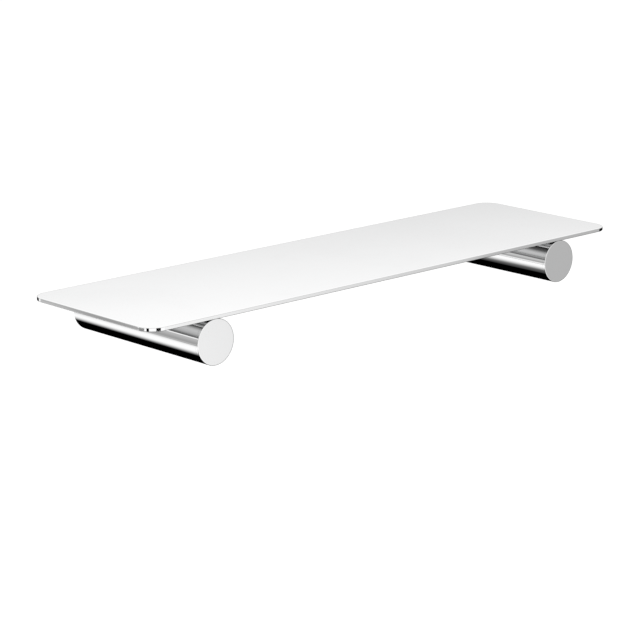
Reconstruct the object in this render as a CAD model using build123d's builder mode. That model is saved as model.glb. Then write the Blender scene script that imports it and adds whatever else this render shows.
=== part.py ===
from build123d import *
import os
from math import sqrt

# Wall shelf: a thin polished plate carried by two round tube brackets that slide over bosses on the wall.
#
# Millimetres. The origin lies on the wall plane, midway between the brackets and at the height of their axes.
# +X runs along the shelf, +Y into the wall and +Z up, so the shelf stands out from the wall towards -Y.

# --- shelf plate -------------------------------------------------------------------------------------------
shelf_length = 500.0
shelf_depth = 140.0
shelf_thickness = 3.0
corner_radius = 14.0
plate_edge_radius = 0.4
wall_gap = 5.0  # between the plate's back edge and the wall

# --- bracket tubes and their end caps ----------------------------------------------------------------------
plate_overhang = 62.5  # from each bracket's axis to the plate's end
tube_diameter = 35.0
tube_wall = 2.0
cap_thickness = 2.5
cap_setback = 1.0  # of the cap's face behind the plate's front edge
cap_edge_chamfer = 0.5
spigot_length = 5.0
spigot_wall = 2.5
spigot_clearance = 0.05  # radial, filled by the braze

# --- fixing of the plate: screws from below into bosses brazed under it -------------------------------------
rear_screw_inset = 35.0  # from the wall to the rear screws
front_screw_inset = 37.0  # from the plate's front edge to the front screws
thread_diameter = 5.0
screw_length = 10.0
screw_head_diameter = 8.5
screw_head_height = 5.0
screw_socket_across_flats = 4.0
screw_socket_depth = 2.5
screw_edge_chamfer = 0.4
washer_thickness = 1.2
washer_outer_diameter = 9.2
washer_bore_clearance = 0.05  # radial, around the screw's shank
washer_split = 0.8
boss_diameter = 9.0
boss_reach = 4.6  # below the tube's upper wall
boss_edge_chamfer = 0.4
boss_clearance = 0.1  # radial, in the tube's upper wall
boss_end_gap = 0.4  # so that the screw clamps the tube and doesn't bottom on the boss
clamp_bar_width = 16.0
clamp_bar_height = 7.0
clamp_bar_end_margin = 10.0  # from each screw to the bar's end
boss_pocket_clearance = 0.3  # radial, in the clamp bar
screw_clearance = 0.25  # radial, in the clamp bar
access_hole_diameter = 10.0
plug_clearance = 0.1  # radial, in the tube's lower wall
plug_recess = 0.1  # of the plug's face below the tube's outside
plug_wall = 1.2
plug_lip = 0.8  # radial, of the lip that snaps in over the tube's inside
plug_lip_height = 1.2

# --- fixing to the wall ------------------------------------------------------------------------------------
wall_boss_length = 18.0
wall_boss_clearance = 0.1  # radial, inside the tube
wall_boss_lead_in = 1.2
wall_screw_pitch = 14.0
wall_screw_hole_diameter = 5.0
wall_screw_head_diameter = 9.0
countersink_angle = 90.0
set_screw_inset = 9.0  # from the wall
set_screw_length = 5.0
set_screw_recess = 0.2
set_screw_socket_across_flats = 2.5
set_screw_socket_depth = 2.0
set_screw_tip_chamfer = 0.6
set_screw_pocket_clearance = 0.25  # radial, in the wall boss

# --- sizes and places that follow --------------------------------------------------------------------------
tube_radius = tube_diameter / 2
tube_inner_radius = tube_radius - tube_wall
thread_radius = thread_diameter / 2
boss_radius = boss_diameter / 2
access_hole_radius = access_hole_diameter / 2
wall_boss_radius = tube_inner_radius - wall_boss_clearance

front_edge_y = -(wall_gap + shelf_depth)
cap_face_y = front_edge_y + cap_setback
tube_front_y = cap_face_y + cap_thickness
plate_underside_z = tube_radius

clamp_bar_underside_z = tube_inner_radius - clamp_bar_height
boss_end_z = tube_inner_radius - boss_reach
screw_head_top_z = clamp_bar_underside_z - washer_thickness
screw_head_underside_z = screw_head_top_z - screw_head_height
set_screw_end_z = -(tube_radius - set_screw_recess)
set_screw_tip_z = set_screw_end_z + set_screw_length

bracket_offset = shelf_length / 2 - plate_overhang
bracket_x = {"left": -bracket_offset, "right": bracket_offset}
screw_y = {"rear": -rear_screw_inset, "front": front_edge_y + front_screw_inset}


def level(x, y, z):
    """A horizontal plane through a point, from which pieces are drawn upwards."""
    return Plane(origin=(x, y, z), x_dir=(1, 0, 0), z_dir=(0, 0, 1))


def upright(x, y):
    """An upright plane parallel to the wall, centred on a bracket's axis and facing the front."""
    return Plane(origin=(x, y, 0), x_dir=(1, 0, 0), z_dir=(0, -1, 0))


def write(piece, name):
    piece.part.label = name
    export_step(piece.part, f"parts/{name}.step")


def make_shelf_plate():
    with BuildPart() as shelf_plate:
        with BuildSketch(level(0, front_edge_y + shelf_depth / 2, plate_underside_z)):
            RectangleRounded(shelf_length, shelf_depth, corner_radius)
        extrude(amount=shelf_thickness)
        underside = shelf_plate.faces().sort_by(Axis.Z)[0]
        top = shelf_plate.faces().sort_by(Axis.Z)[-1]
        fillet(underside.edges() + top.edges(), plate_edge_radius)
    return shelf_plate


def make_bracket_tube(x):
    with BuildPart() as bracket_tube:
        with BuildSketch(upright(x, 0)):
            Circle(tube_radius)
            Circle(tube_inner_radius, mode=Mode.SUBTRACT)
        extrude(amount=-tube_front_y)
        for y in screw_y.values():
            with BuildSketch(level(x, y, 0)):
                Circle(boss_radius + boss_clearance)
            extrude(amount=tube_diameter, mode=Mode.SUBTRACT)
            with BuildSketch(level(x, y, 0)):
                Circle(access_hole_radius)
            extrude(amount=-tube_diameter, mode=Mode.SUBTRACT)
        with BuildSketch(level(x, -set_screw_inset, 0)):
            Circle(thread_radius)
        extrude(amount=-tube_diameter, mode=Mode.SUBTRACT)
    return bracket_tube


def make_end_cap(x):
    with BuildPart() as end_cap:
        with BuildSketch(upright(x, tube_front_y)):
            Circle(tube_radius)
        extrude(amount=cap_thickness)
        chamfer(end_cap.faces().sort_by(Axis.Y)[0].edges(), cap_edge_chamfer)
        spigot_radius = tube_inner_radius - spigot_clearance
        with BuildSketch(upright(x, tube_front_y)):
            Circle(spigot_radius)
            Circle(spigot_radius - spigot_wall, mode=Mode.SUBTRACT)
        extrude(amount=-spigot_length)
    return end_cap


def make_threaded_boss(x, y):
    with BuildPart() as threaded_boss:
        with BuildSketch(level(x, y, boss_end_z)):
            Circle(boss_radius)
        extrude(amount=plate_underside_z - boss_end_z)
        chamfer(threaded_boss.faces().sort_by(Axis.Z)[0].edges(), boss_edge_chamfer)
        with BuildSketch(level(x, y, boss_end_z)):
            Circle(thread_radius)
        extrude(amount=plate_underside_z - boss_end_z, mode=Mode.SUBTRACT)
    return threaded_boss


def make_clamp_bar(x):
    start_y = screw_y["rear"] + clamp_bar_end_margin
    end_y = screw_y["front"] - clamp_bar_end_margin
    with BuildPart() as clamp_bar:
        with BuildSketch(upright(x, start_y)):
            Circle(tube_inner_radius)  # its top lies against the tube's inside
            with Locations((0, clamp_bar_underside_z)):
                Rectangle(
                    clamp_bar_width, tube_diameter, align=(Align.CENTER, Align.MIN), mode=Mode.INTERSECT
                )
        extrude(amount=start_y - end_y)
        for y in screw_y.values():
            with BuildSketch(level(x, y, clamp_bar_underside_z)):
                Circle(thread_radius + screw_clearance)
            extrude(amount=clamp_bar_height, mode=Mode.SUBTRACT)
            with BuildSketch(level(x, y, boss_end_z - boss_end_gap)):
                Circle(boss_radius + boss_pocket_clearance)
            extrude(amount=boss_end_gap + boss_reach, mode=Mode.SUBTRACT)
    return clamp_bar


def make_plate_screw(x, y):
    with BuildPart() as plate_screw:
        with BuildSketch(level(x, y, screw_head_underside_z)):
            Circle(screw_head_diameter / 2)
        extrude(amount=screw_head_height)
        chamfer(plate_screw.faces().sort_by(Axis.Z)[0].edges(), screw_edge_chamfer)
        with BuildSketch(level(x, y, screw_head_top_z)):
            Circle(thread_radius)
        extrude(amount=screw_length)
        chamfer(plate_screw.faces().sort_by(Axis.Z)[-1].edges(), screw_edge_chamfer)
        with BuildSketch(level(x, y, screw_head_underside_z)):
            RegularPolygon(screw_socket_across_flats / 2, 6, major_radius=False)
        extrude(amount=screw_socket_depth, mode=Mode.SUBTRACT)
    return plate_screw


def make_lock_washer(x, y):
    bore_radius = thread_radius + washer_bore_clearance
    with BuildPart() as lock_washer:
        with BuildSketch(level(x, y, screw_head_top_z)):
            Circle(washer_outer_diameter / 2)
            Circle(bore_radius, mode=Mode.SUBTRACT)
            with Locations((washer_outer_diameter / 2, 0)):
                Rectangle(washer_outer_diameter, washer_split, mode=Mode.SUBTRACT)
        extrude(amount=washer_thickness)
    return lock_washer


def make_access_plug(x, y):
    face_radius = tube_radius - plug_recess
    stem_radius = access_hole_radius - plug_clearance
    lip_radius = access_hole_radius + plug_lip
    # the lip's underside rests on the tube's inside where the lip is widest
    lip_z = -sqrt(tube_inner_radius**2 - lip_radius**2)
    with BuildPart() as access_plug:
        with BuildSketch(level(x, y, -tube_radius)):
            Circle(stem_radius)
        extrude(amount=tube_radius + lip_z)
        with BuildSketch(upright(x, y + stem_radius)):
            Circle(face_radius)
        extrude(amount=2 * stem_radius, mode=Mode.INTERSECT)
        with BuildSketch(level(x, y, lip_z)):
            Circle(lip_radius)
        extrude(amount=plug_lip_height)
        with BuildSketch(level(x, y, lip_z + plug_lip_height)):
            Circle(stem_radius - plug_wall)
        extrude(amount=-(face_radius + lip_z + plug_lip_height - plug_wall), mode=Mode.SUBTRACT)
    return access_plug


def make_wall_boss(x):
    hole_radius = wall_screw_hole_diameter / 2
    head_radius = wall_screw_head_diameter / 2
    with BuildPart() as wall_boss:
        with BuildSketch(upright(x, 0)):
            Circle(wall_boss_radius)
        extrude(amount=wall_boss_length)
        chamfer(wall_boss.faces().sort_by(Axis.Y)[0].edges(), wall_boss_lead_in)
        with Locations(upright(x, -wall_boss_length)):
            with GridLocations(0, wall_screw_pitch, 1, 2):
                CounterSinkHole(hole_radius, head_radius, wall_boss_length, countersink_angle)
        with BuildSketch(level(x, -set_screw_inset, set_screw_tip_z)):
            Circle(thread_radius + set_screw_pocket_clearance)
        extrude(amount=-tube_radius, mode=Mode.SUBTRACT)
    return wall_boss


def make_set_screw(x):
    with BuildPart() as set_screw:
        with BuildSketch(level(x, -set_screw_inset, set_screw_end_z)):
            Circle(thread_radius)
        extrude(amount=set_screw_length)
        chamfer(set_screw.faces().sort_by(Axis.Z)[-1].edges(), set_screw_tip_chamfer)
        with BuildSketch(level(x, -set_screw_inset, set_screw_end_z)):
            RegularPolygon(set_screw_socket_across_flats / 2, 6, major_radius=False)
        extrude(amount=set_screw_socket_depth, mode=Mode.SUBTRACT)
    return set_screw


os.makedirs("parts", exist_ok=True)
write(make_shelf_plate(), "shelf_plate")
for side, x in bracket_x.items():
    write(make_bracket_tube(x), f"bracket_tube_{side}")
    write(make_end_cap(x), f"end_cap_{side}")
    write(make_clamp_bar(x), f"clamp_bar_{side}")
    write(make_wall_boss(x), f"wall_boss_{side}")
    write(make_set_screw(x), f"set_screw_{side}")
    for place, y in screw_y.items():
        write(make_threaded_boss(x, y), f"threaded_boss_{side}_{place}")
        write(make_plate_screw(x, y), f"plate_screw_{side}_{place}")
        write(make_lock_washer(x, y), f"lock_washer_{side}_{place}")
        write(make_access_plug(x, y), f"access_plug_{side}_{place}")
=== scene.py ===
from contextlib import contextmanager
from math import cos, pi, radians, sqrt

import bmesh
import bpy
from mathutils import Matrix, Vector


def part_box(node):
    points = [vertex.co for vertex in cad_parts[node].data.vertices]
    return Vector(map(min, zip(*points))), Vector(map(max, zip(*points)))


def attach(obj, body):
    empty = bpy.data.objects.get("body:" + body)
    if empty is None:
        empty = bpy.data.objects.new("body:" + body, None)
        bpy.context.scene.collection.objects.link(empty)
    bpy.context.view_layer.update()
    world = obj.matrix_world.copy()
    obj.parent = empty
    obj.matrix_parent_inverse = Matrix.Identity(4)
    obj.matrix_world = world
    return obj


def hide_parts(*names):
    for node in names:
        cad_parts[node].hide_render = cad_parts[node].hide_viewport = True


# Wall shelf: a thin mirror-polished plate on two chrome tube brackets that slide over bosses on the wall.
# Metres, in the frame of the construction: X along the shelf, +Y into the wall, Z up.
# Places and main sizes come from the boxes of the construction's nodes. The rest is given here.

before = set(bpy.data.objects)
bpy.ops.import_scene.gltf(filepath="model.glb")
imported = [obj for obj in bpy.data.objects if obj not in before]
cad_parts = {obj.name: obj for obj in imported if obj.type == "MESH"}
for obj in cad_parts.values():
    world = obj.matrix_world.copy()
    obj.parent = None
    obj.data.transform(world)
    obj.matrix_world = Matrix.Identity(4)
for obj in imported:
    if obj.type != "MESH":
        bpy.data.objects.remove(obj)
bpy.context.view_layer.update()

MM = 0.001

TUBE_SIDES = 192  # facets round a tube, a cap and the bore
TURNED_SIDES = 128  # facets round the wall boss
SMALL_SIDES = 64  # facets round a plug, a screw and their holes
SMOOTH_ANGLE = radians(28)
ROUNDED_ANGLE = radians(40)  # for the plate and the caps, whose edges are rounded in steps
SLIVER = 0.002 * MM  # anything shorter is cleared away
FACE_TOLERANCE = 0.02 * MM  # how far a face may lie from where it is looked for
RING_TOLERANCE = 0.03 * MM  # and the points of a ring
FLAT_FACING = 0.99  # cosine from which a face looks along a direction
ROUND_FACING = 0.98  # and away from an axis
LONG_EDGE = 10 * MM  # longer along Y than this are only the long sides of a tube or bar
OVERSHOOT = 1 * MM  # of a cutter past the face that it opens
CLEAR = 30 * MM  # the reach of a cutter that passes the whole side of a tube

CORNER_RADIUS = 14 * MM
CORNER_SEGMENTS = 28
PLATE_EDGE_RADIUS = 0.4 * MM
PLATE_EDGE_SEGMENTS = 4
PLATE_BORDER = 1.2 * MM  # flat margin inside the rounded edge

TUBE_END_BEVEL = 0.05 * MM  # makes the hairline between tube and cap
TUBE_RINGS = 11  # cuts across the tube, which keep its facets short
BOSS_HOLE_RADIUS = 4.6 * MM
ACCESS_HOLE_RADIUS = 5.0 * MM
SET_SCREW_RADIUS = 2.5 * MM

CAP_DISC = 2.5 * MM
CAP_EDGE_BEVEL = 0.32 * MM
CAP_BORDER = 0.6 * MM  # flat margin inside the lapped edge
CAP_SEAM_BEVEL = 0.04 * MM
SPIGOT_GAP = 0.05 * MM
SPIGOT_WALL = 2.5 * MM

PLUG_GAP = 0.1 * MM  # round its stem in the tube's hole
PLUG_WALL = 1.2 * MM
PLUG_SLOT_FLOOR = 0.6 * MM  # from the floor of its cup to the slots
PLUG_LIP_LAP = 0.5 * MM  # of the stem into the lip
PLUG_LIP_BEVEL = 0.3 * MM  # so that it snaps in
PLUG_SLOT = 0.9 * MM  # between the fingers of its skirt
PLUG_RING_RADIUS = 3.8 * MM
PLUG_RING_WIDTH = 0.35 * MM
PLUG_RING_DEPTH = 0.18 * MM
PLUG_NOTCH_RADIUS = 0.6 * MM  # to lever it out
PLUG_NOTCH_DEPTH = 0.5 * MM
PLUG_EDGE_BEVEL = 0.15 * MM
PLUG_CLEAR = 10 * MM  # the reach of a cutter that passes both sides of the plug

WALL_BOSS_LEAD_IN = 1.2 * MM
WALL_BOSS_REAR_BEVEL = 0.15 * MM
WALL_SCREW_PITCH = 14 * MM
WALL_SCREW_HOLE_RADIUS = 2.5 * MM
WALL_SCREW_HEAD_RADIUS = 4.5 * MM
COUNTERSINK_MARGIN = 0.2 * MM  # of its cutter past the face
SET_SCREW_POCKET_RADIUS = 2.75 * MM

BAR_HOLE_RADIUS = 2.75 * MM
BAR_POCKET_RADIUS = 4.8 * MM
BAR_POCKET_GAP = 0.4 * MM  # under the end of a threaded boss
BAR_EDGE_BEVEL = 0.5 * MM

THREAD_RADIUS = 2.5 * MM  # M5
THREAD_PITCH = 0.8 * MM
THREAD_DEPTH = 0.45 * MM
THREAD_FLANK = 0.38 * THREAD_PITCH  # its length along the axis
THREAD_FLAT = 0.12 * THREAD_PITCH  # at the crest and at the root
THREAD_LEAD = 1.6 * THREAD_PITCH  # from its start to the end of the rod
THREAD_MERGE = 0.001 * MM
THREAD_STEPS = 40  # facets round one turn
THREAD_MARGIN = 0.02 * MM  # between the crests and the blank that trims the ends
BLUNT = 0.05 * MM  # radius at the point of a drill
SOCKET_MOUTH = 0.25 * MM
DRILL_POINT_LAP = 0.1 * MM  # of its cone into the socket

SCREW_HEAD_SIDES = 60
SCREW_HEAD_BEVEL = 0.4 * MM
SCREW_SEAT_BEVEL = 0.15 * MM
SCREW_ROOT_SINK = 0.3 * MM  # of the thread into the head
SCREW_ROOT_BEVEL = 0.05 * MM
SCREW_KNURL = 0.06 * MM
SCREW_SOCKET_FLATS = 4.0 * MM
SCREW_SOCKET_DEPTH = 2.5 * MM

SET_SCREW_SOCKET_FLATS = 2.5 * MM
SET_SCREW_SOCKET_DEPTH = 2.0 * MM
SET_SCREW_TIP_BEVEL = 0.6 * MM
SET_SCREW_CUP_RADIUS = 1.2 * MM
SET_SCREW_CUP_DEPTH = 0.6 * MM
SCREW_END_BEVEL = 0.3 * MM

WASHER_BORE_RADIUS = 2.55 * MM
WASHER_SPLIT = 0.8 * MM
WASHER_SPLIT_SLANT = radians(30)
WASHER_EDGE_BEVEL = 0.08 * MM

BOSS_EDGE_BEVEL = 0.4 * MM
BOSS_LEAD_IN = 0.35 * MM

plate_low, plate_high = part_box("shelf_plate")
tube_low, tube_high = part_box("bracket_tube_left")
cap_low, cap_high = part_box("end_cap_left")
right_tube_low, right_tube_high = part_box("bracket_tube_right")

AXIS_X = (tube_low.x + tube_high.x) / 2  # of the left bracket
TO_RIGHT = (right_tube_low.x + right_tube_high.x) / 2 - AXIS_X  # from the left bracket to the right one
TUBE_RADIUS = (tube_high.x - tube_low.x) / 2
TUBE_WALL = 2.0 * MM
BORE_RADIUS = TUBE_RADIUS - TUBE_WALL


def node_centre(node):
    low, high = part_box(node)
    return (low + high) / 2


def axis_of(node):
    return AXIS_X + TO_RIGHT if "right" in node else AXIS_X


def side_of(axis_x):
    return "left" if axis_x == AXIS_X else "right"


# --- modelling helpers ----------------

def select_only(piece):
    bpy.ops.object.select_all(action="DESELECT")
    piece.select_set(True)
    bpy.context.view_layer.objects.active = piece


def start(name, primitive, scale=(1, 1, 1), **size):
    """Adds a primitive at its size and place, with nothing else selected."""
    bpy.ops.object.select_all(action="DESELECT")
    primitive(**size)
    piece = bpy.context.object
    piece.name = name
    piece.data.name = name
    piece.scale = scale
    bpy.ops.object.transform_apply(location=True, rotation=True, scale=True)
    return piece


def cylinder_along(axis, name, radius, start_point, end_point, sides):
    """A closed cylinder between two points on a line along Y or Z."""
    start_point, end_point = Vector(start_point), Vector(end_point)
    turn = (pi / 2, 0, 0) if axis == "Y" else (0, 0, 0)
    return start(
        name, bpy.ops.mesh.primitive_cylinder_add, vertices=sides, end_fill_type="NGON", radius=radius,
        depth=(end_point - start_point).length, location=(start_point + end_point) / 2, rotation=turn,
    )


def on_axis(name, radius, low_y, high_y, z=0, sides=TUBE_SIDES):
    """A closed cylinder along Y on the left bracket's axis, or above or below it."""
    return cylinder_along("Y", name, radius, (AXIS_X, low_y, z), (AXIS_X, high_y, z), sides)


def upright(name, radius, y, low_z, high_z, x=AXIS_X, sides=SMALL_SIDES):
    """A closed cylinder along Z, in line with the left bracket's axis unless x says otherwise."""
    return cylinder_along("Z", name, radius, (x, y, low_z), (x, y, high_z), sides)


@contextmanager
def editing(piece, parts="FACE"):
    select_only(piece)
    bpy.ops.object.mode_set(mode="EDIT")
    bpy.ops.mesh.select_mode(type=parts)
    bpy.ops.mesh.select_all(action="DESELECT")
    yield
    bpy.ops.object.mode_set(mode="OBJECT")


def middle_of(part):
    return sum((v.co for v in part.verts), Vector()) / len(part.verts)


def span(edge, axis):
    """The length of an edge along an axis."""
    first, last = (getattr(v.co, axis) for v in edge.verts)
    return abs(first - last)


def choose_all():
    bpy.ops.mesh.select_all(action="SELECT")


def choose(piece, parts, wanted):
    """In edit mode, selects only those faces or edges of the piece for which wanted says yes."""
    bpy.ops.mesh.select_mode(type={"faces": "FACE", "edges": "EDGE"}[parts])
    bpy.ops.mesh.select_all(action="DESELECT")
    mesh = bmesh.from_edit_mesh(piece.data)
    for part in getattr(mesh, parts):
        if wanted(part):
            part.select_set(True)
    bmesh.update_edit_mesh(piece.data)


def flat_face(direction, level):
    """Says yes to faces that look along direction and lie at that distance along it."""
    along = Vector(direction)

    def is_there(face):
        off = abs(middle_of(face).dot(along) - level)
        return off < FACE_TOLERANCE and face.normal.dot(along) > FLAT_FACING

    return is_there


def bevel(width, segments=1):
    bpy.ops.mesh.bevel(offset=width, segments=segments, affect="EDGES", clamp_overlap=True)


def bevel_ring(piece, axis, level, centre, radius, width, segments=1):
    """In edit mode, bevels the edges of a circle round a line along Y or Z through centre."""
    axis_index = "XYZ".index(axis)

    def on_ring(point):
        offset = point - Vector(centre)
        along = offset[axis_index] + centre[axis_index]
        offset[axis_index] = 0
        return abs(along - level) < RING_TOLERANCE and abs(offset.length - radius) < RING_TOLERANCE

    choose(piece, "edges", lambda edge: all(on_ring(v.co) for v in edge.verts))
    bevel(width, segments)


def extrude(x=0.0, y=0.0, z=0.0):
    bpy.ops.mesh.extrude_region_move(TRANSFORM_OT_translate={"value": (x, y, z)})


def inset(width):
    bpy.ops.mesh.inset(thickness=width, use_even_offset=True)


def cut(piece, cutter, operation="DIFFERENCE"):
    """Cuts the piece with another mesh, which is used up."""
    select_only(piece)
    boolean = piece.modifiers.new("cut", "BOOLEAN")
    boolean.operation = operation
    boolean.solver = "EXACT"
    boolean.object = cutter
    bpy.ops.object.modifier_apply(modifier=boolean.name)
    bpy.data.objects.remove(cutter)


def drill(piece, radius, y, low_z, high_z):
    """Cuts a round upright hole in line with the left bracket's axis."""
    cut(piece, upright("cutter", radius, y, low_z, high_z))


def cut_cone(piece, axis, start_radius, start_point, end_radius, end_point):
    """Cuts a cone between two points on a line along Y or Z, the first with the lower Y or Z."""
    start_point, end_point = Vector(start_point), Vector(end_point)
    turn = (-pi / 2, 0, 0) if axis == "Y" else (0, 0, 0)
    cut(piece, start(
        "cutter", bpy.ops.mesh.primitive_cone_add, vertices=SMALL_SIDES, end_fill_type="NGON",
        radius1=start_radius, radius2=end_radius, depth=(end_point - start_point).length,
        location=(start_point + end_point) / 2, rotation=turn,
    ))


def cut_block(piece, low, high, turn=(0, 0, 0)):
    """Cuts a block between two corners."""
    low, high = Vector(low), Vector(high)
    cut(piece, start(
        "cutter", bpy.ops.mesh.primitive_cube_add, size=1,
        location=(low + high) / 2, scale=high - low, rotation=turn,
    ))


def smooth(piece, angle=SMOOTH_ANGLE):
    """Clears slivers that a cut left and shades all but sharp edges smooth."""
    with editing(piece, "VERT"):
        choose_all()
        bpy.ops.mesh.remove_doubles(threshold=SLIVER)
        bpy.ops.mesh.dissolve_degenerate(threshold=SLIVER)
    select_only(piece)
    bpy.ops.object.shade_smooth_by_angle(angle=angle, keep_sharp_edges=True)


def weigh_normals(piece):
    """Lets large faces set the shading, so that flats stay flat beside small rounded edges."""
    select_only(piece)
    weighted = piece.modifiers.new("weigh", "WEIGHTED_NORMAL")
    weighted.keep_sharp = True
    weighted.weight = 100
    bpy.ops.object.modifier_apply(modifier=weighted.name)


def true_round(piece, axis_x, radii):
    """Gives round faces along Y the normals of true cylinders, so that they mirror without facets."""
    mesh = piece.data
    normals = [Vector(corner.vector) for corner in mesh.corner_normals]
    for face in mesh.polygons:
        outwards = Vector((face.center.x - axis_x, 0, face.center.z))
        reach = outwards.length
        facing = face.normal.dot(outwards.normalized())
        is_near = any(abs(reach - radius) < FACE_TOLERANCE for radius in radii)
        if abs(facing) < ROUND_FACING or not is_near:
            continue
        for corner in face.loop_indices:
            point = mesh.vertices[mesh.loops[corner].vertex_index].co
            radial = Vector((point.x - axis_x, 0, point.z)).normalized()
            normals[corner] = radial if facing > 0 else -radial
    mesh.normals_split_custom_set(normals)


def twin(piece, offset):
    """The same piece further on, with a mesh of its own."""
    copy = piece.copy()
    copy.data = piece.data.copy()
    bpy.context.scene.collection.objects.link(copy)
    shift(copy, *offset)
    return copy


def shift(piece, x=0.0, y=0.0, z=0.0):
    select_only(piece)
    bpy.ops.transform.translate(value=(x, y, z))
    bpy.ops.object.transform_apply(location=True, rotation=True, scale=True)


def finish_piece(piece, node, slot, *materials):
    """Dresses a piece in its materials and puts it in the place of its node."""
    piece.data.materials.clear()
    for material in materials:
        piece.data.materials.append(material)
    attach(piece, "root")
    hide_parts(node)


def second_material(piece, wanted):
    """Gives its second material to the faces for which wanted says yes."""
    for face in piece.data.polygons:
        face.material_index = 1 if wanted(face) else 0


def set_out(first, kind, slot, *materials):
    """Puts a piece in the place of its node, and a copy of it in that of each other node of its kind.

    The first piece is the left one, at the rear. A material may be a function of the bracket's axis.
    """
    nodes = sorted(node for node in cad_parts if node.startswith(kind + "_"))
    home = f"{kind}_left_rear" if f"{kind}_left_rear" in nodes else f"{kind}_left"
    stem = first.name
    for node in nodes:
        piece = first if node == home else twin(first, node_centre(node) - node_centre(home))
        piece.name = node.replace(kind, stem)
        piece.data.name = piece.name
        finish_piece(piece, node, slot, *(
            material(axis_of(node)) if callable(material) else material for material in materials
        ))


# --- node helpers ---------------------

def place(tree, kind, values=None, **settings):
    """Adds a node. values gives inputs, by name or number, a constant or another node's output."""
    node = tree.nodes.new("ShaderNode" + kind)
    for setting, value in settings.items():
        setattr(node, setting, value)
    for socket, value in (values or {}).items():
        if isinstance(value, bpy.types.NodeSocket):
            tree.links.new(value, node.inputs[socket])
        else:
            node.inputs[socket].default_value = value
    return node


def calculate(tree, operation, *values):
    return place(tree, "Math", dict(enumerate(values)), operation=operation).outputs[0]


def times(tree, first, second):
    return calculate(tree, "MULTIPLY", first, second)


def plus(tree, first, second):
    return calculate(tree, "ADD", first, second)


def minus(tree, first, second):
    return calculate(tree, "SUBTRACT", first, second)


def stretch(tree, value, low, high, to_low=0.0, to_high=1.0):
    """Maps low..high to to_low..to_high with a soft start and end."""
    node = place(
        tree, "MapRange", {0: value, 1: low, 2: high, 3: to_low, 4: to_high},
        interpolation_type="SMOOTHSTEP",
    )
    return node.outputs[0]


def blend_colours(tree, share, first, second):
    node = place(tree, "Mix", {0: share, 6: first, 7: second}, data_type="RGBA")
    return node.outputs[2]


def noise(tree, vector, scale, detail=2.0, roughness=0.5):
    node = place(
        tree, "TexNoise",
        {"Vector": vector, "Scale": scale, "Detail": detail, "Roughness": roughness},
    )
    return node.outputs["Fac"]


def new_group(name, inputs, outputs):
    """An empty shader node group. inputs gives each socket its default value."""
    group = bpy.data.node_groups.new(name, "ShaderNodeTree")
    for socket, value in inputs.items():
        kind = {float: "NodeSocketFloat", tuple: "NodeSocketColor"}.get(type(value), "NodeSocketVector")
        made = group.interface.new_socket(name=socket, in_out="INPUT", socket_type=kind)
        if value is not None:
            made.default_value = value
    for socket, kind in outputs.items():
        group.interface.new_socket(name=socket, in_out="OUTPUT", socket_type=f"NodeSocket{kind}")
    return group, group.nodes.new("NodeGroupInput").outputs, group.nodes.new("NodeGroupOutput").inputs


def effect(tree, group, values):
    return place(tree, "Group", values, node_tree=group).outputs


def feed(tree, sockets, sources):
    """Links each source to the socket of its name."""
    for name, source in sources.items():
        tree.links.new(source, sockets[name])


# --- shared effects -------------------

SURFACE = {"Color": "Color", "Roughness": "Float", "Height": "Float"}


def polish_marks_group():
    """Marks on polished metal: faint wipe smears, hairlines along one direction and a barely uneven skin."""
    group, given, made = new_group(
        "polish_marks",
        {
            "Vector": None, "Metal": (0.8, 0.8, 0.8, 1.0), "Smeared": (0.7, 0.7, 0.7, 1.0),
            "Roughness": 0.04, "Spread": 0.03, "Smear Size": 14.0, "Smears": 0.5, "Hairlines": 0.2,
            "Comb": Vector((1.0, 1.0, 1.0)),
        },
        SURFACE,
    )
    smear_noise = noise(group, given["Vector"], given["Smear Size"], detail=4.0, roughness=0.6)
    smears = times(group, stretch(group, smear_noise, 0.42, 0.72), given["Smears"])
    combed = place(
        group, "VectorMath", {0: given["Vector"], 1: given["Comb"]}, operation="MULTIPLY",
    )
    hair_noise = noise(group, combed.outputs[0], 900.0, detail=2.0, roughness=0.7)
    hairlines = times(group, stretch(group, hair_noise, 0.60, 0.74), given["Hairlines"])
    skin = noise(group, given["Vector"], 260.0, detail=2.0, roughness=0.4)
    dulled = plus(group, smears, times(group, hairlines, 0.8))
    feed(group, made, {
        "Color": blend_colours(group, smears, given["Metal"], given["Smeared"]),
        "Roughness": plus(group, given["Roughness"], times(group, dulled, given["Spread"])),
        "Height": minus(group, times(group, skin, 0.25), hairlines),
    })
    return group


def turned_rings_group():
    """Fine rings that a lathe leaves round the Y axis, which the vector is centred on."""
    group, given, made = new_group(
        "turned_rings",
        {"Vector": None, "Pitch": 0.0002, "Waver": 0.3},
        {"Height": "Float", "Mask": "Float"},
    )
    apart = place(group, "SeparateXYZ", {0: given["Vector"]}).outputs
    across = times(group, apart["X"], apart["X"])
    upwards = times(group, apart["Z"], apart["Z"])
    radius = calculate(group, "SQRT", plus(group, across, upwards))
    turns = calculate(group, "DIVIDE", plus(group, radius, apart["Y"]), given["Pitch"])
    uneven = noise(group, given["Vector"], 700.0, detail=1.0)
    wavering = plus(group, turns, times(group, uneven, given["Waver"]))
    outwards = place(group, "CombineXYZ", {"X": turns, "Y": 0.0, "Z": 0.0}).outputs[0]
    feed(group, made, {
        "Height": calculate(group, "SINE", times(group, wavering, 2 * pi)),
        "Mask": stretch(group, noise(group, outwards, 0.21, detail=3.0), 0.35, 0.65),
    })
    return group


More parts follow.
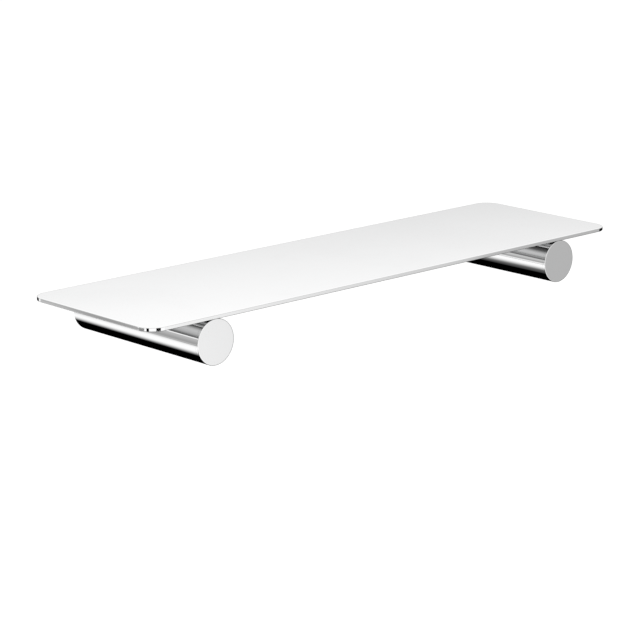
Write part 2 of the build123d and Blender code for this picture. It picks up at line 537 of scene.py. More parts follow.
def plated_grain_group():
    """The cloudy, faintly crystalline skin of zinc plate, bright brass or bare cast metal."""
    group, given, made = new_group(
        "plated_grain",
        {
            "Vector": None, "Metal": (0.6, 0.6, 0.6, 1.0), "Clouded": (0.5, 0.5, 0.5, 1.0),
            "Grain Size": 900.0, "Cloud Size": 90.0, "Roughness": 0.3, "Spread": 0.12,
        },
        SURFACE,
    )
    clouds = stretch(group, noise(group, given["Vector"], given["Cloud Size"], detail=4.0), 0.35, 0.65)
    crystals = place(
        group, "TexVoronoi", {"Vector": given["Vector"], "Scale": given["Grain Size"]},
        feature="F1",
    ).outputs["Distance"]
    mottled = plus(group, times(group, crystals, 0.4), clouds)
    feed(group, made, {
        "Color": blend_colours(group, times(group, mottled, 0.7), given["Metal"], given["Clouded"]),
        "Roughness": plus(group, given["Roughness"], times(group, clouds, given["Spread"])),
        "Height": crystals,
    })
    return group


def moulded_grain_group():
    """The fine spark-eroded grain of a moulded plastic part, with a slight change of shade."""
    group, given, made = new_group(
        "moulded_grain",
        {
            "Vector": None, "Plastic": (0.6, 0.6, 0.6, 1.0), "Darker": (0.5, 0.5, 0.5, 1.0),
            "Grain Size": 5200.0,
        },
        SURFACE,
    )
    fine = noise(group, given["Vector"], given["Grain Size"], detail=2.0)
    flow = stretch(group, noise(group, given["Vector"], 160.0, detail=3.0), 0.35, 0.7)
    feed(group, made, {
        "Color": blend_colours(group, flow, given["Plastic"], given["Darker"]),
        "Roughness": plus(group, times(group, fine, 0.22), 0.34),
        "Height": fine,
    })
    return group


# --- materials ------------------------

POLISH_MARKS = polish_marks_group()
TURNED_RINGS = turned_rings_group()
PLATED_GRAIN = plated_grain_group()
MOULDED_GRAIN = moulded_grain_group()

CHROME = (0.872, 0.873, 0.875, 1)
CHROME_WIPED = (0.842, 0.843, 0.845, 1)
CHROME_RUBBED = (0.822, 0.823, 0.825, 1)
# darker copies of the chrome for the plate's underside: painted shade, with real wipe marks in the second
CHROME_PAINTED_SHADE = (0.665, 0.667, 0.670, 1)
CHROME_PAINTED_SHADE_WIPED = (0.605, 0.607, 0.610, 1)
PLATING_RELIEF = 0.0004 * MM
ALONG_X = (0.03, 1.0, 1.0)  # stretches hairlines along X
ALONG_Y = (1.0, 0.03, 1.0)
BLACK = (0.0, 0.0, 0.0, 1)

UNDERSIDE_SLANT_PAINTED_SHADE = (0.45, 0.45, 0.45, 1)  # dark edge tint, which paints shade on the underside at a slant
UNDERSIDE_PAINTED_SHADE = 0.16  # share of black that paints shade on the underside outside the left bracket
# along X: where that painted shade is full, and where it has faded out
PAINTED_SHADE_FULL_TO_X = -0.200
PAINTED_SHADE_CLEAR_FROM_X = -0.180


def new_material(name, metallic=1.0):
    """A material with its Principled shader. Constants sit on the shader's own sockets."""
    material = bpy.data.materials.new(name)
    material.use_nodes = True
    tree = material.node_tree
    shader = tree.nodes["Principled BSDF"]
    shader.inputs["Metallic"].default_value = metallic
    coordinates = place(tree, "TexCoord").outputs["Object"]
    return material, tree, shader.inputs, coordinates


def dress(tree, shader, colour, roughness, height, strength, relief):
    """Feeds the shader a colour, a roughness and a relief that change over the surface."""
    bump = place(tree, "Bump", {"Strength": strength, "Distance": relief, "Height": height})
    feed(tree, shader, {"Base Color": colour, "Roughness": roughness, "Normal": bump.outputs[0]})


def rings_round(tree, coordinates, axis_x, pitch, waver):
    """The rings of a lathe round a bracket's axis."""
    centred = place(tree, "Mapping", {"Vector": coordinates, "Location": (-axis_x, 0, 0)})
    return effect(tree, TURNED_RINGS, {"Vector": centred.outputs[0], "Pitch": pitch, "Waver": waver})


def chrome(name, metal, smeared, roughness, spread, smear_size, comb):
    """Bright chrome plate. comb is small along the axis that the hairlines follow."""
    material, tree, shader, coordinates = new_material(name)
    marks = effect(tree, POLISH_MARKS, {
        "Vector": coordinates, "Metal": metal, "Smeared": smeared, "Roughness": roughness,
        "Spread": spread, "Smear Size": smear_size, "Comb": comb,
    })
    dress(tree, shader, marks["Color"], marks["Roughness"], marks["Height"], 1.0, PLATING_RELIEF)
    return material


def plate_chrome():
    return chrome(
        "plate_chrome_mirror", CHROME, CHROME_WIPED,
        roughness=0.045, spread=0.05, smear_size=11.0, comb=ALONG_X,
    )


def plate_underside():
    """The same plating over metal that was ground but hardly buffed, so a little rougher.

    Its darker colour is painted shade under the plate. A dark edge tint paints more shade at a slant, and
    outside the left bracket the colour goes towards black, which is painted shade there too.
    """
    material = chrome(
        "plate_underside_chrome", CHROME_PAINTED_SHADE, CHROME_PAINTED_SHADE_WIPED,
        roughness=0.07, spread=0.05, smear_size=16.0, comb=ALONG_X,
    )
    tree = material.node_tree
    shader = tree.nodes["Principled BSDF"].inputs
    # a dark edge tint: painted shade on the underside at a slant
    shader["Specular Tint"].default_value = UNDERSIDE_SLANT_PAINTED_SHADE
    coordinates = place(tree, "TexCoord").outputs["Object"]
    along = place(tree, "SeparateXYZ", {0: coordinates}).outputs["X"]
    # painted shade: the underside's colour goes towards black outside the left bracket
    dulled = stretch(tree, along, PAINTED_SHADE_FULL_TO_X, PAINTED_SHADE_CLEAR_FROM_X, UNDERSIDE_PAINTED_SHADE, 0.0)
    metal = shader["Base Color"].links[0].from_socket
    feed(tree, shader, {"Base Color": blend_colours(tree, dulled, metal, BLACK)})
    return material


def tube_chrome():
    return chrome(
        "tube_chrome_mirror", CHROME, CHROME_RUBBED,
        roughness=0.03, spread=0.04, smear_size=22.0, comb=ALONG_Y,
    )


def cap_chrome(axis_x):
    """Chrome over a face that was turned and lapped, so its rings barely show."""
    material, tree, shader, coordinates = new_material(f"cap_chrome_lapped_{side_of(axis_x)}")
    marks = effect(tree, POLISH_MARKS, {
        "Vector": coordinates, "Metal": CHROME, "Smeared": CHROME_WIPED,
        "Roughness": 0.05, "Spread": 0.05, "Smear Size": 40.0, "Hairlines": 0.15,
    })
    rings = rings_round(tree, coordinates, axis_x, pitch=0.12 * MM, waver=0.4)
    height = plus(tree, marks["Height"], times(tree, rings["Height"], 0.3))
    dress(tree, shader, marks["Color"], marks["Roughness"], height, 1.0, PLATING_RELIEF)
    return material


def turned_steel(axis_x):
    """Bare turned stainless steel, with rings of the tool round the axis and a light haze."""
    material, tree, shader, coordinates = new_material(f"turned_stainless_{side_of(axis_x)}")
    rings = rings_round(tree, coordinates, axis_x, pitch=0.15 * MM, waver=0.5)
    haze = stretch(tree, noise(tree, coordinates, 130.0, detail=4.0), 0.35, 0.7)
    ringed = times(tree, rings["Mask"], 0.5)
    shade = plus(tree, ringed, times(tree, haze, 0.5))
    colour = blend_colours(tree, shade, (0.68, 0.68, 0.67, 1), (0.52, 0.52, 0.51, 1))
    roughness = plus(tree, times(tree, shade, 0.14), 0.24)
    dress(tree, shader, colour, roughness, rings["Height"], 0.6, 0.006 * MM)
    return material


def grained_metal(
    name, metal, clouded, grain_size, roughness, relief, cloud_size=90.0, spread=0.12, strength=0.5,
):
    """Plated, cast, rolled or hardened metal with a fine grain."""
    material, tree, shader, coordinates = new_material(name)
    grain = effect(tree, PLATED_GRAIN, {
        "Vector": coordinates, "Metal": metal, "Clouded": clouded, "Grain Size": grain_size,
        "Cloud Size": cloud_size, "Roughness": roughness, "Spread": spread,
    })
    dress(tree, shader, grain["Color"], grain["Roughness"], grain["Height"], strength, relief)
    return material


def bore_brass():
    """The tube's brass inside, dulled by the plating bath and never polished."""
    return grained_metal(
        "bore_brass", (0.56, 0.50, 0.38, 1), (0.34, 0.31, 0.26, 1), grain_size=1500.0, roughness=0.38,
        relief=0.02 * MM, cloud_size=120.0, spread=0.2, strength=0.4,
    )


def plug_plastic():
    material, tree, shader, coordinates = new_material("grey_plastic_moulded", metallic=0.0)
    grain = effect(tree, MOULDED_GRAIN, {
        "Vector": coordinates, "Plastic": (0.50, 0.51, 0.52, 1), "Darker": (0.46, 0.47, 0.48, 1),
    })
    dress(tree, shader, grain["Color"], grain["Roughness"], grain["Height"], 0.5, 0.01 * MM)
    return material


# --- pieces ---------------------------

def model_shelf_plate():
    size = plate_high - plate_low
    middle = (plate_low + plate_high) / 2
    plate = start(
        "shelf_plate_polished", bpy.ops.mesh.primitive_plane_add, size=1,
        location=(middle.x, middle.y, plate_low.z), scale=(size.x, size.y, 1),
    )
    with editing(plate, "VERT"):
        choose_all()
        bpy.ops.mesh.bevel(offset=CORNER_RADIUS, segments=CORNER_SEGMENTS, affect="VERTICES")
        bpy.ops.mesh.select_mode(type="FACE")
        choose_all()
        extrude(z=size.z)
        choose_all()
        bpy.ops.mesh.normals_make_consistent(inside=False)
        choose(plate, "edges", lambda edge: span(edge, "z") < FACE_TOLERANCE)
        bevel(PLATE_EDGE_RADIUS, PLATE_EDGE_SEGMENTS)
        for direction, level in (((0, 0, 1), plate_high.z), ((0, 0, -1), -plate_low.z)):
            choose(plate, "faces", flat_face(direction, level))
            inset(PLATE_BORDER)
    smooth(plate, ROUNDED_ANGLE)
    weigh_normals(plate)
    return plate


def model_bracket_tube():
    tube = on_axis("bracket_tube_shell", TUBE_RADIUS, tube_low.y, tube_high.y)
    with editing(tube):
        choose(tube, "faces", lambda face: abs(face.normal.y) > FLAT_FACING)
        inset(TUBE_WALL)
        bpy.ops.mesh.bridge_edge_loops()
        ends = ((tube_low.y, TUBE_RADIUS), (tube_high.y, TUBE_RADIUS), (tube_high.y, BORE_RADIUS))
        for level, reach in ends:
            bevel_ring(tube, "Y", level, (AXIS_X, 0, 0), reach, TUBE_END_BEVEL, 2)
        choose(tube, "edges", lambda edge: span(edge, "y") > LONG_EDGE)
        bpy.ops.mesh.subdivide(number_cuts=TUBE_RINGS)
    for place_name in ("rear", "front"):
        y = node_centre(f"access_plug_left_{place_name}").y
        drill(tube, ACCESS_HOLE_RADIUS, y, -CLEAR, 0)
        drill(tube, BOSS_HOLE_RADIUS, y, 0, CLEAR)
    drill(tube, SET_SCREW_RADIUS, node_centre("set_screw_left").y, -CLEAR, 0)
    smooth(tube)
    true_round(tube, AXIS_X, (TUBE_RADIUS, BORE_RADIUS))
    return tube


def is_bore(face, axis_x):
    reach = Vector((face.center.x - axis_x, 0, face.center.z))
    return reach.length < BORE_RADIUS + TUBE_END_BEVEL and face.normal.dot(reach) < 0


def model_end_cap():
    spigot_radius = BORE_RADIUS - SPIGOT_GAP
    disc_back = cap_low.y + CAP_DISC
    cap = on_axis("end_cap_lapped", TUBE_RADIUS, cap_low.y, disc_back)
    with editing(cap):
        choose(cap, "faces", flat_face((0, 1, 0), disc_back))
        inset(TUBE_RADIUS - spigot_radius)
        extrude(y=cap_high.y - disc_back)
        inset(SPIGOT_WALL)
        extrude(y=disc_back - cap_high.y)
        bevel_ring(cap, "Y", cap_low.y, (AXIS_X, 0, 0), TUBE_RADIUS, CAP_EDGE_BEVEL, 4)
        bevel_ring(cap, "Y", disc_back, (AXIS_X, 0, 0), TUBE_RADIUS, CAP_SEAM_BEVEL, 2)
        choose(cap, "faces", flat_face((0, -1, 0), -cap_low.y))
        inset(CAP_BORDER)
    smooth(cap, ROUNDED_ANGLE)
    weigh_normals(cap)
    true_round(cap, AXIS_X, (TUBE_RADIUS, spigot_radius))
    return cap


def on_wrapped_rim(centre, reach, face_radius):
    """Says yes to edges where an upright cylinder meets the face that lies round the bracket's axis."""

    def on_rim(point):
        offset = Vector((point.x - centre.x, point.y - centre.y))
        face_z = -sqrt(face_radius ** 2 - (point.x - AXIS_X) ** 2)
        return abs(offset.length - reach) < FACE_TOLERANCE and abs(point.z - face_z) < FACE_TOLERANCE

    return lambda edge: all(on_rim(v.co) for v in edge.verts)


def model_access_plug():
    """A snap-in plug: a face that follows the tube, a split skirt with a lip, a ring groove and a notch."""
    low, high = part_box("access_plug_left_rear")
    centre = (low + high) / 2
    face_radius = -low.z
    lip_radius = (high.x - low.x) / 2
    stem_radius = ACCESS_HOLE_RADIUS - PLUG_GAP
    lip_z = -sqrt(BORE_RADIUS ** 2 - lip_radius ** 2)
    floor_z = PLUG_WALL - face_radius
    below = -TUBE_RADIUS - OVERSHOOT

    def round_the_axis(radius):
        return on_axis("cutter", radius, centre.y - PLUG_CLEAR, centre.y + PLUG_CLEAR)

    plug = upright("access_plug_moulded", stem_radius, centre.y, below, lip_z + PLUG_LIP_LAP)
    cut(plug, round_the_axis(face_radius), "INTERSECT")
    with editing(plug):
        choose(plug, "edges", on_wrapped_rim(centre, stem_radius, face_radius))
        bevel(PLUG_EDGE_BEVEL, 2)
    lip = upright("lip", lip_radius, centre.y, lip_z, high.z)
    with editing(lip):
        bevel_ring(lip, "Z", high.z, centre, lip_radius, PLUG_LIP_BEVEL, 2)
    cut(plug, lip, "UNION")
    drill(plug, stem_radius - PLUG_WALL, centre.y, floor_z, high.z + OVERSHOOT)
    slot_reach = lip_radius + OVERSHOOT
    for reach in (Vector((slot_reach, PLUG_SLOT / 2, 0)), Vector((PLUG_SLOT / 2, slot_reach, 0))):
        slot_low = Vector((AXIS_X, centre.y, floor_z + PLUG_SLOT_FLOOR)) - reach
        slot_high = Vector((AXIS_X, centre.y, high.z + OVERSHOOT)) + reach
        cut_block(plug, slot_low, slot_high)
    ring = upright("ring", PLUG_RING_RADIUS, centre.y, below, floor_z)
    drill(ring, PLUG_RING_RADIUS - PLUG_RING_WIDTH, centre.y, below - OVERSHOOT, floor_z + OVERSHOOT)
    cut(ring, round_the_axis(face_radius - PLUG_RING_DEPTH))
    cut(plug, ring)
    drill(plug, PLUG_NOTCH_RADIUS, centre.y + stem_radius, below, PLUG_NOTCH_DEPTH - face_radius)
    smooth(plug)
    return plug


def model_wall_boss():
    """The turned boss on the wall, with two countersunk screw holes and a pocket for the set screw."""
    low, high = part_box("wall_boss_left")
    radius = (high.x - low.x) / 2
    boss = on_axis("wall_boss_turned", radius, low.y, high.y, sides=TURNED_SIDES)
    with editing(boss):
        bevel_ring(boss, "Y", low.y, (AXIS_X, 0, 0), radius, WALL_BOSS_LEAD_IN)
        bevel_ring(boss, "Y", high.y, (AXIS_X, 0, 0), radius, WALL_BOSS_REAR_BEVEL)
    margin = COUNTERSINK_MARGIN
    depth = WALL_SCREW_HEAD_RADIUS - WALL_SCREW_HOLE_RADIUS
    for z in (-WALL_SCREW_PITCH / 2, WALL_SCREW_PITCH / 2):
        cut(boss, on_axis(
            "cutter", WALL_SCREW_HOLE_RADIUS, low.y - OVERSHOOT, high.y + OVERSHOOT, z, SMALL_SIDES,
        ))
        cut_cone(
            boss, "Y", WALL_SCREW_HEAD_RADIUS + margin, (AXIS_X, low.y - margin, z),
            WALL_SCREW_HOLE_RADIUS - margin, (AXIS_X, low.y + depth + margin, z),
        )
    tip_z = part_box("set_screw_left")[1].z
    drill(boss, SET_SCREW_POCKET_RADIUS, node_centre("set_screw_left").y, -CLEAR, tip_z)
    smooth(boss)
    return boss


def model_clamp_bar():
    """The bar in the tube that the plate's screws pull up. Its top follows the tube's inside."""
    low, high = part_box("clamp_bar_left")
    bar = on_axis("clamp_bar_sawn", BORE_RADIUS, low.y, high.y)
    half_width = high.x - AXIS_X

    def is_long_side(edge):
        at_side = all(abs(abs(v.co.x - AXIS_X) - half_width) < FACE_TOLERANCE for v in edge.verts)
        return at_side and span(edge, "y") > LONG_EDGE

    sawn_faces = (
        ((AXIS_X, 0, low.z), (0, 0, -1)), ((low.x, 0, 0), (-1, 0, 0)), ((high.x, 0, 0), (1, 0, 0)),
    )
    with editing(bar):
        for point, outwards in sawn_faces:
            choose_all()
            bpy.ops.mesh.bisect(plane_co=point, plane_no=outwards, use_fill=True, clear_outer=True)
        choose(bar, "edges", is_long_side)
        bevel(BAR_EDGE_BEVEL, 2)
    pocket_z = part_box("threaded_boss_left_rear")[0].z - BAR_POCKET_GAP
    for place_name in ("rear", "front"):
        y = node_centre(f"plate_screw_left_{place_name}").y
        drill(bar, BAR_HOLE_RADIUS, y, low.z - OVERSHOOT, high.z + OVERSHOOT)
        drill(bar, BAR_POCKET_RADIUS, y, pocket_z, high.z + OVERSHOOT)
    smooth(bar)
    true_round(bar, AXIS_X, (BORE_RADIUS,))
    return bar


def model_thread(name, low_z, high_z, low_bevel, high_bevel):
    """A threaded rod round the Z axis, with bevelled ends."""
    thread = start(name, bpy.ops.mesh.primitive_plane_add, size=THREAD_PITCH)
    with editing(thread, "VERT"):
        choose_all()
        bpy.ops.mesh.merge(type="CENTER")
        bpy.ops.transform.translate(value=(THREAD_RADIUS - THREAD_DEPTH, 0, low_z - THREAD_LEAD))
        extrude(x=THREAD_DEPTH, z=THREAD_FLANK)
        extrude(z=THREAD_FLAT)
        extrude(x=-THREAD_DEPTH, z=THREAD_FLANK)
        extrude(z=THREAD_FLAT)
    turning = thread.modifiers.new("turning", "SCREW")
    turning.axis = "Z"
    turning.screw_offset = THREAD_PITCH
    turning.iterations = int((high_z - low_z) / THREAD_PITCH) + 3
    turning.steps = THREAD_STEPS
    turning.render_steps = THREAD_STEPS
    turning.use_merge_vertices = True
    turning.merge_threshold = THREAD_MERGE
    select_only(thread)
    bpy.ops.object.modifier_apply(modifier=turning.name)
    middle_z = (low_z + high_z) / 2
    with editing(thread, "EDGE"):
        choose_all()
        bpy.ops.mesh.remove_doubles(threshold=THREAD_MERGE)
        for is_open_end in (
            lambda edge: edge.is_boundary and middle_of(edge).z < middle_z,
            lambda edge: edge.is_boundary and middle_of(edge).z > middle_z,
        ):
            choose(thread, "edges", is_open_end)
            extrude()
            bpy.ops.mesh.merge(type="CENTER")
        choose_all()
        bpy.ops.mesh.normals_make_consistent(inside=False)
    blank_radius = THREAD_RADIUS + THREAD_MARGIN
    blank = upright("blank", blank_radius, 0, low_z, high_z, x=0)
    with editing(blank):
        bevel_ring(blank, "Z", low_z, (0, 0, 0), blank_radius, low_bevel)
        bevel_ring(blank, "Z", high_z, (0, 0, 0), blank_radius, high_bevel)
    cut(thread, blank, "INTERSECT")
    return thread


def cut_hex_socket(piece, flats, low_z, depth):
    """Cuts a hexagon socket upwards from low_z, with an eased mouth and the drill's point at its end."""
    corner = flats / 2 / cos(pi / 6)
    mouth = SOCKET_MOUTH
    end_z = low_z + depth
    cut(piece, upright("cutter", corner, 0, low_z - OVERSHOOT, end_z, x=0, sides=6))
    cut_cone(piece, "Z", corner + mouth, (0, 0, low_z - mouth), corner - mouth, (0, 0, low_z + mouth))
    cut_cone(piece, "Z", flats / 2, (0, 0, end_z - DRILL_POINT_LAP), BLUNT, (0, 0, end_z + flats / 5))


def model_plate_screw():
    """A knurled socket head screw, head down."""
    low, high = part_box("plate_screw_left_rear")
    seat_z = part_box("lock_washer_left_rear")[0].z
    head_radius = (high.x - low.x) / 2
    head = upright(
        "plate_screw_socket_head", head_radius, 0, low.z, seat_z, x=0, sides=SCREW_HEAD_SIDES,
    )
    with editing(head):
        bevel_ring(head, "Z", low.z, (0, 0, 0), head_radius, SCREW_HEAD_BEVEL, 3)
        bevel_ring(head, "Z", seat_z, (0, 0, 0), head_radius, SCREW_SEAT_BEVEL)
        choose(head, "faces", lambda face: abs(face.normal.z) < 0.05)
        bpy.ops.mesh.inset(thickness=SCREW_KNURL, depth=-SCREW_KNURL, use_individual=True)
    shank = model_thread("shank", seat_z - SCREW_ROOT_SINK, high.z, SCREW_ROOT_BEVEL, SCREW_END_BEVEL)
    cut(head, shank, "UNION")
    cut_hex_socket(head, SCREW_SOCKET_FLATS, low.z, SCREW_SOCKET_DEPTH)
    smooth(head)
    shift(head, AXIS_X, (low.y + high.y) / 2)
    return head


def model_set_screw():
    """A headless screw with a socket below and a cup point above, which bites on the wall boss."""
    low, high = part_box("set_screw_left")
    screw = model_thread("set_screw_cup_point", low.z, high.z, SCREW_END_BEVEL, SET_SCREW_TIP_BEVEL)
    cut_hex_socket(screw, SET_SCREW_SOCKET_FLATS, low.z, SET_SCREW_SOCKET_DEPTH)
    cut_cone(
        screw, "Z", BLUNT, (0, 0, high.z - SET_SCREW_CUP_DEPTH),
        SET_SCREW_CUP_RADIUS * 1.5, (0, 0, high.z + SET_SCREW_CUP_DEPTH / 2),
    )
    smooth(screw)
    shift(screw, AXIS_X, (low.y + high.y) / 2)
    return screw


def model_lock_washer():
    """A split spring washer, pressed flat, its split at a slant."""
    low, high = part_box("lock_washer_left_rear")
    y = (low.y + high.y) / 2
    radius = (high.y - low.y) / 2
    washer = upright("lock_washer_split", radius, y, low.z, high.z)
    drill(washer, WASHER_BORE_RADIUS, y, low.z - OVERSHOOT, high.z + OVERSHOOT)
    with editing(washer):
        for level in (low.z, high.z):
            for reach in (radius, WASHER_BORE_RADIUS):
                bevel_ring(washer, "Z", level, (AXIS_X, y, 0), reach, WASHER_EDGE_BEVEL)
    split_low = (AXIS_X, y - WASHER_SPLIT / 2, low.z - 2 * OVERSHOOT)
    split_high = (AXIS_X + radius + OVERSHOOT, y + WASHER_SPLIT / 2, high.z + 2 * OVERSHOOT)
    cut_block(washer, split_low, split_high, (WASHER_SPLIT_SLANT, 0, 0))
    smooth(washer)
    return washer


def model_threaded_boss():
    """A brass boss brazed under the plate, bored for the plate's screw."""
    low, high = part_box("threaded_boss_left_rear")
    y = (low.y + high.y) / 2
    radius = (high.x - low.x) / 2
    boss = upright("threaded_boss_turned", radius, y, low.z, high.z)
    with editing(boss):
        bevel_ring(boss, "Z", low.z, (AXIS_X, y, 0), radius, BOSS_EDGE_BEVEL)
    drill(boss, THREAD_RADIUS, y, low.z - OVERSHOOT, high.z + OVERSHOOT)
    with editing(boss):
        bevel_ring(boss, "Z", low.z, (AXIS_X, y, 0), THREAD_RADIUS, BOSS_LEAD_IN)
    smooth(boss)
    return boss


# --- studio ---------------------------

CAMERA_PLACE = Vector((-1.3310, -1.4573, 0.46703))
CAMERA_BEARING = 43.524  # degrees from +Y towards +X
CAMERA_DIP = 14.514  # degrees below the horizon
CAMERA_ROLL = 0.06  # degrees
CAMERA_LENS = 140.04
SENSOR_WIDTH = 36.0

FLOOR_Z = -0.6
FLOOR_SIZE = 60.0

SWEEP_WHITE = 1.14  # makes a white of it in chrome, which mirrors a little under nine tenths
WALL_WHITE = 1.16
WALL_GREY = 0.86  # away from the camera's side, so that the plate stands out from the background
WALL_TILT = 0.08  # rise of the wall's lower edge, in degrees for each degree west of the camera's bearing
WALL_TILT_MOST = 0.6
DROOP_START = -54.0  # bearing from which the sweep's edges sink towards the east
DROOP_MOST = 40.0
CURTAIN = (-16.5, -12.5)  # degrees of elevation


def set_camera():
    data = bpy.data.cameras.new("camera")
    data.lens = CAMERA_LENS
    data.sensor_width = SENSOR_WIDTH
    data.clip_end = 200
    camera = bpy.data.objects.new("camera", data)
    bearing = Matrix.Rotation(radians(-CAMERA_BEARING), 4, "Z")
    dip = Matrix.Rotation(radians(90 - CAMERA_DIP), 4, "X")
    roll = Matrix.Rotation(radians(CAMERA_ROLL), 4, "Z")
    camera.matrix_world = Matrix.Translation(CAMERA_PLACE) @ (bearing @ dip) @ roll
    bpy.context.scene.collection.objects.link(camera)
    bpy.context.scene.camera = camera


def near(tree, angle, centre, half_width, feather):
    """1 within half_width degrees of centre, falling to 0 over feather degrees."""
    away = calculate(tree, "WRAP", minus(tree, angle, centre), 180.0, -180.0)
    distance = calculate(tree, "ABSOLUTE", away)
    return stretch(tree, distance, half_width, half_width + feather, 1.0, 0.0)


def between(tree, value, least, most):
    return calculate(tree, "MINIMUM", calculate(tree, "MAXIMUM", value, least), most)


def sloping(tree, droop, level, slope):
    """An elevation that falls by slope for each degree of droop."""
    return minus(tree, level, times(tree, droop, slope))


def towards(tree, glow, brightness, share):
    """glow, drawn towards another brightness by a share from 0 to 1."""
    keep = times(tree, glow, minus(tree, 1.0, share))
    return plus(tree, keep, times(tree, share, brightness))


def room_glow(tree):
    """What polished metal sees of the studio: a white sweep, a soft wall of light and dark flags.

    Bearings and elevations are in degrees, and bearings count from +Y towards +X, which is called east here.
    """
    direction = place(tree, "TexCoord").outputs["Generated"]
    apart = place(tree, "SeparateXYZ", {0: direction}).outputs
    elevation = calculate(tree, "DEGREES", calculate(tree, "ARCSINE", apart["Z"]))
    bearing = calculate(tree, "DEGREES", calculate(tree, "ARCTAN2", apart["X"], apart["Y"]))
    east_of_start = minus(tree, bearing, DROOP_START)
    along = between(tree, east_of_start, 0.0, DROOP_MOST)
    droop = times(tree, along, near(tree, bearing, DROOP_START, 90.0, 30.0))

    def card(glow, brightness, bearings, bearing_feather, elevations, elevation_feather):
        west, east = bearings
        low, high = elevations
        across = near(tree, bearing, (west + east) / 2, (east - west) / 2, bearing_feather)
        upwards = near(tree, elevation, (low + high) / 2, (high - low) / 2, elevation_feather)
        return towards(tree, glow, brightness, times(tree, across, upwards))

    # from straight down to straight up: black, the white sweep, its grey far end, the wall, the ceiling
    sweep_start_low = sloping(tree, droop, -37.8, 0.19)
    sweep_start_high = sloping(tree, droop, -18.3, 0.50)
    sweep_end_low = sloping(tree, droop, -10.0, 0.776)
    sweep_end_high = sloping(tree, droop, -4.5, 0.40)
    glow = card(0.0, 0.09, (-37, -22), 7.0, (-46, -41), 3.0)  # dark grey floor under the sweep
    glow = towards(tree, glow, SWEEP_WHITE, stretch(tree, elevation, sweep_start_low, sweep_start_high))
    glow = towards(tree, glow, 0.40, stretch(tree, elevation, sweep_end_low, sweep_end_high))
    glow = towards(tree, glow, 0.54, stretch(tree, elevation, -8.0, 4.0))
    glow = card(glow, 0.62, (-80, -49), 6.0, (0, 5), 6.0)  # lighter far end towards the west
    east_of_camera = minus(tree, bearing, CAMERA_BEARING)
    tilt = times(tree, east_of_camera, WALL_TILT)
    wall_height = plus(tree, elevation, between(tree, tilt, -WALL_TILT_MOST, WALL_TILT_MOST))
    wall_light = towards(tree, WALL_GREY, WALL_WHITE, near(tree, bearing, CAMERA_BEARING, 14.0, 20.0))
    glow = towards(tree, glow, wall_light, stretch(tree, wall_height, 8.7, 15.7))
    glow = towards(tree, glow, 0.78, stretch(tree, elevation, 40.0, 85.0))

    glow = card(glow, 1.10, (-60, -25), 5.0, (9, 14), 4.0)  # strip light by the wall
    glow = card(glow, 0.30, (-89.5, -57), 4.0, (-15.9, -13.8), 0.6)  # edge of a grey board
    glow = card(glow, 0.33, (-57, -40.6), 2.0, (-15.1, -14.3), 0.5)  # which tapers
    glow = card(glow, 0.36, (-38.7, -36.2), 1.4, (-15.1, -14.0), 0.8)  # and of the one beside it
    glow = card(glow, 0.60, (-36.9, -36.2), 1.4, (-15.1, -13.8), 0.8)  # whose far end is lighter
    glow = card(glow, 0.09, (3, 116.2), 31.0, (-26, -9), 4.0)  # dark side of the room
    glow = card(glow, 0.0, (3, 118), 24.0, (-90, -28), 6.0)  # and of its floor
    glow = card(glow, 0.0, (-12.5, 40), 18.5, (-90, -31), 5.0)  # where the sweep stops
    glow = card(glow, 0.0, (-119, -106.5), 3.0, (-17, -12), 2.0)  # narrow black flag
    glow = card(glow, 0.0, (170.5, 195.5), 3.0, (-15.7, -12.2), 1.0)  # black cloth straight in front
    glow = card(glow, 1.05, (-34.0, -16), 1.4, CURTAIN, 1.5)  # bright gap west of the black curtain
    glow = card(glow, 0.52, (118, 132.1), 1.2, CURTAIN, 1.5)  # grey hem at the curtain's east end
    glow = card(glow, 0.0, (-10.5, 121.5), 3.5, CURTAIN, 1.5)  # the curtain, along the dark side
    glow = card(glow, 0.0, (-10.5, 32.0), 3.5, (-16.5, 7.0), 3.0)  # its west end, which reaches higher
    return glow


def studio_world():
    """White to the camera, an even light on dull surfaces and a graded room in polished ones."""
    world = bpy.data.worlds.new("soft_studio")
    world.use_nodes = True
    tree = world.node_tree
    tree.nodes.clear()
    path = place(tree, "LightPath").outputs
    room, dull, white = (
        place(tree, "Background", {"Color": (1, 1, 1, 1), "Strength": strength}).outputs[0]
        for strength in (room_glow(tree), 0.75, 1.0)
    )
    light = place(tree, "MixShader", {0: path["Is Glossy Ray"], 1: dull, 2: room}).outputs[0]
    clear = calculate(tree, "MAXIMUM", path["Is Camera Ray"], path["Is Transmission Ray"])
    seen = place(tree, "MixShader", {0: clear, 1: light, 2: white}).outputs[0]
    place(tree, "OutputWorld", {"Surface": seen})
    bpy.context.scene.world = world


def pale_floor():
    """A white floor that keeps the object's shadow and isn't seen from below."""
    floor = start(
        "studio_floor", bpy.ops.mesh.primitive_plane_add, size=FLOOR_SIZE, location=(0, 0, FLOOR_Z),
    )
    material = bpy.data.materials.new("pale_floor")
    material.use_nodes = True
    tree = material.node_tree
    tree.nodes.clear()
    matt = place(tree, "BsdfDiffuse", {"Color": (0.8, 0.8, 0.8, 1)})
    glow = place(tree, "Emission", {"Color": (1, 1, 1, 1), "Strength": 0.45})
    lit = place(tree, "AddShader", {0: matt.outputs[0], 1: glow.outputs[0]})
    through = place(tree, "BsdfTransparent")
    back = place(tree, "NewGeometry").outputs["Backfacing"]
    surface = place(tree, "MixShader", {0: back, 1: lit.outputs[0], 2: through.outputs[0]})
    place(tree, "OutputMaterial", {"Surface": surface.outputs[0]})
    floor.data.materials.append(material)
    floor.visible_glossy = False


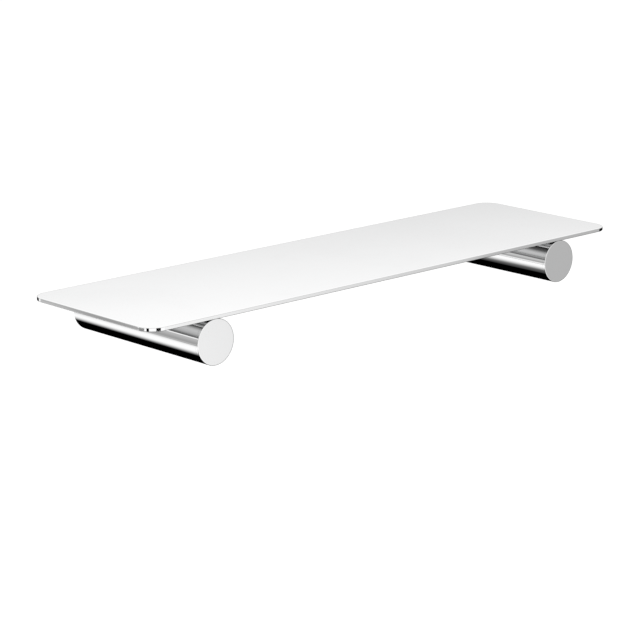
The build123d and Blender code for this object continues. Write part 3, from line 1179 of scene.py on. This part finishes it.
def soft_lamp(name, location, size, power):
    """A large square lamp that looks at the object."""
    data = bpy.data.lights.new(name, "AREA")
    data.shape = "SQUARE"
    data.size = size
    data.energy = power
    lamp = bpy.data.objects.new(name, data)
    lamp.location = location
    lamp.rotation_euler = (-Vector(location)).to_track_quat("-Z", "Y").to_euler()
    lamp.visible_glossy = False
    bpy.context.scene.collection.objects.link(lamp)


# --- the scene ------------------------

bpy.context.scene.view_settings.view_transform = "Standard"
set_camera()
studio_world()
pale_floor()
soft_lamp("overhead_lamp", location=(-0.4, -0.8, 2.2), size=2.0, power=18)
soft_lamp("side_lamp", location=(-1.8, -1.0, 0.9), size=1.4, power=6)

plate = model_shelf_plate()
finish_piece(plate, "shelf_plate", "plate_chrome", plate_chrome(), plate_underside())
# the downward faces get the darker chrome, whose colour paints the shade under the plate
second_material(plate, lambda face: face.normal.z < -FLAT_FACING)

set_out(model_bracket_tube(), "bracket_tube", "tube_chrome", tube_chrome(), bore_brass())
for side in ("left", "right"):
    axis_x = axis_of(side)
    second_material(bpy.data.objects[f"bracket_tube_shell_{side}"], lambda face: is_bore(face, axis_x))
set_out(model_end_cap(), "end_cap", "cap_chrome", cap_chrome)
set_out(model_wall_boss(), "wall_boss", "wall_boss_stainless", turned_steel)

set_out(model_clamp_bar(), "clamp_bar", "clamp_zinc_steel", grained_metal(
    "clamp_zinc", (0.62, 0.63, 0.62, 1), (0.50, 0.52, 0.54, 1), 1400.0, 0.32, 0.01 * MM))
set_out(model_threaded_boss(), "threaded_boss", "boss_brass", grained_metal(
    "turned_brass", (0.78, 0.62, 0.36, 1), (0.62, 0.47, 0.27, 1), 2500.0, 0.28, 0.004 * MM))
set_out(model_plate_screw(), "plate_screw", "screw_stainless", grained_metal(
    "rolled_stainless", (0.66, 0.66, 0.65, 1), (0.52, 0.52, 0.51, 1), 2800.0, 0.26, 0.003 * MM))
set_out(model_lock_washer(), "lock_washer", "washer_spring_steel", grained_metal(
    "tempered_spring_steel", (0.48, 0.47, 0.45, 1), (0.30, 0.29, 0.28, 1), 2500.0, 0.34, 0.005 * MM))
set_out(model_set_screw(), "set_screw", "set_screw_steel", grained_metal(
    "blackened_steel", (0.30, 0.30, 0.30, 1), (0.18, 0.18, 0.18, 1), 3000.0, 0.36, 0.004 * MM))
set_out(model_access_plug(), "access_plug", "plug_grey_plastic", plug_plastic())
